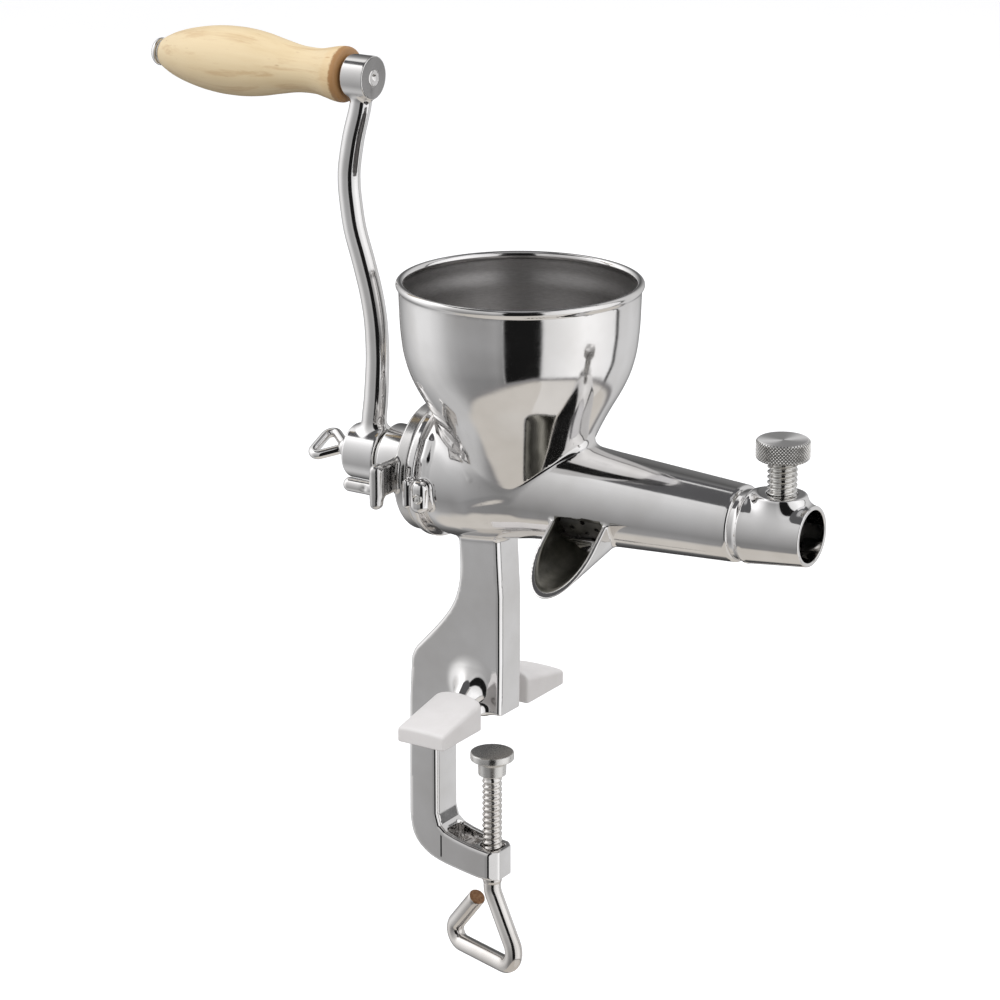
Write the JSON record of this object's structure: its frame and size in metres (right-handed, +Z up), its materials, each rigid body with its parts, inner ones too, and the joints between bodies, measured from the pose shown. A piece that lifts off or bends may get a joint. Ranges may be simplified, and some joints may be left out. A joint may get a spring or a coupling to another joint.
{
  "type": "hand-crank auger juicer with table clamp",
  "caption": "Hand-cranked auger fruit juicer in polished steel: round hopper, tapered barrel, juice spout, pulp outlet with pressure screw, wooden crank grip and table clamp.",
  "frame": {"origin": "on the table-top plane, at the inner face of the clamp spine where it meets the table edge, on the machine's mid-plane", "axes": "+X along the auger from the crank towards the pulp outlet, +Z up, +Y towards the side away from the juice spout"},
  "size_m": [0.3744, 0.1186, 0.4664],
  "materials": {
    "polished_steel": "mirror-polished stainless steel",
    "satin_steel": "turned, knurled or satin stainless steel",
    "wood_grip": "pale turned hardwood, thin clear finish",
    "white_rubber": "matte white moulded rubber",
    "seal_rubber": "black gasket rubber",
    "nylon": "natural nylon bearing"
  },
  "bodies": {
    "frame": {"hopper_bowl": "polished_steel", "barrel_housing": "polished_steel", "bayonet_pins": "satin_steel", "juice_spout": "polished_steel", "strainer_screen": "satin_steel", "outlet_nozzle": "polished_steel", "clamp_neck": "polished_steel", "clamp_spine": "polished_steel", "lower_arm": "polished_steel", "jaw_arm_near": "polished_steel", "jaw_arm_far": "polished_steel", "rubber_foot_near": "white_rubber", "rubber_foot_far": "white_rubber", "seal_ring": "seal_rubber"},
    "cover": {"rear_cover": "polished_steel", "cover_peg": "polished_steel", "bearing_sleeve": "polished_steel", "shaft_bush": "nylon"},
    "crank": {"auger": "satin_steel", "auger_shaft": "satin_steel", "thrust_washer": "nylon", "crank_arm": "polished_steel", "hub_washer": "polished_steel", "grip_bolt": "polished_steel", "grip_washers": "satin_steel"},
    "grip": {"handle_grip": "wood_grip"},
    "lock_washer": {"lock_washer": "polished_steel"},
    "wing_screw": {"wing_screw": "polished_steel"},
    "pressure_stud": {"pressure_screw_stud": "satin_steel"},
    "pressure_knob": {"pressure_screw_knob": "satin_steel"},
    "clamp_pad": {"clamp_pad": "satin_steel"},
    "clamp_screw": {"clamp_screw": "polished_steel"}
  },
  "joints": [
    {"name": "cover_turn", "type": "hinge", "parent": "frame", "child": "cover", "pos_m": [0, 0, 0.124], "axis": [1, 0, 0], "range_deg": [-43, 0]},
    {"name": "crank_spin", "type": "hinge", "parent": "frame", "child": "crank", "pos_m": [0, 0, 0.124], "axis": [1, 0, 0], "continuous": true},
    {"name": "grip_spin", "type": "hinge", "parent": "crank", "child": "grip", "pos_m": [-0.11, 0, 0.312], "axis": [1, 0, 0], "continuous": true},
    {"name": "wing_travel", "type": "slide", "parent": "crank", "child": "lock_washer", "axis": [-1, 0, 0], "range_m": [0, 0.015]},
    {"name": "wing_turn", "type": "hinge", "parent": "lock_washer", "child": "wing_screw", "pos_m": [-0.06, 0, 0.124], "axis": [-1, 0, 0], "range_deg": [0, 4320]},
    {"name": "pressure_travel", "type": "slide", "parent": "frame", "child": "pressure_stud", "axis": [0, 0, 1], "range_m": [-0.012, 0.008]},
    {"name": "pressure_turn", "type": "hinge", "parent": "pressure_stud", "child": "pressure_knob", "pos_m": [0.186, 0, 0.16], "axis": [0, 0, 1], "range_deg": [-1728, 1152]},
    {"name": "clamp_travel", "type": "slide", "parent": "frame", "child": "clamp_pad", "axis": [0, 0, 1], "range_m": [-0.032, 0.005]},
    {"name": "clamp_turn", "type": "hinge", "parent": "clamp_pad", "child": "clamp_screw", "pos_m": [0.027, 0, -0.06], "axis": [0, 0, 1], "range_deg": [-3840, 600]}
  ],
  "couplings": [
    {"joint": "wing_turn", "follows": "wing_travel", "rad_per_m": 5026.5},
    {"joint": "pressure_turn", "follows": "pressure_travel", "rad_per_m": 2513.3},
    {"joint": "clamp_turn", "follows": "clamp_travel", "rad_per_m": 2094.4}
  ]
}
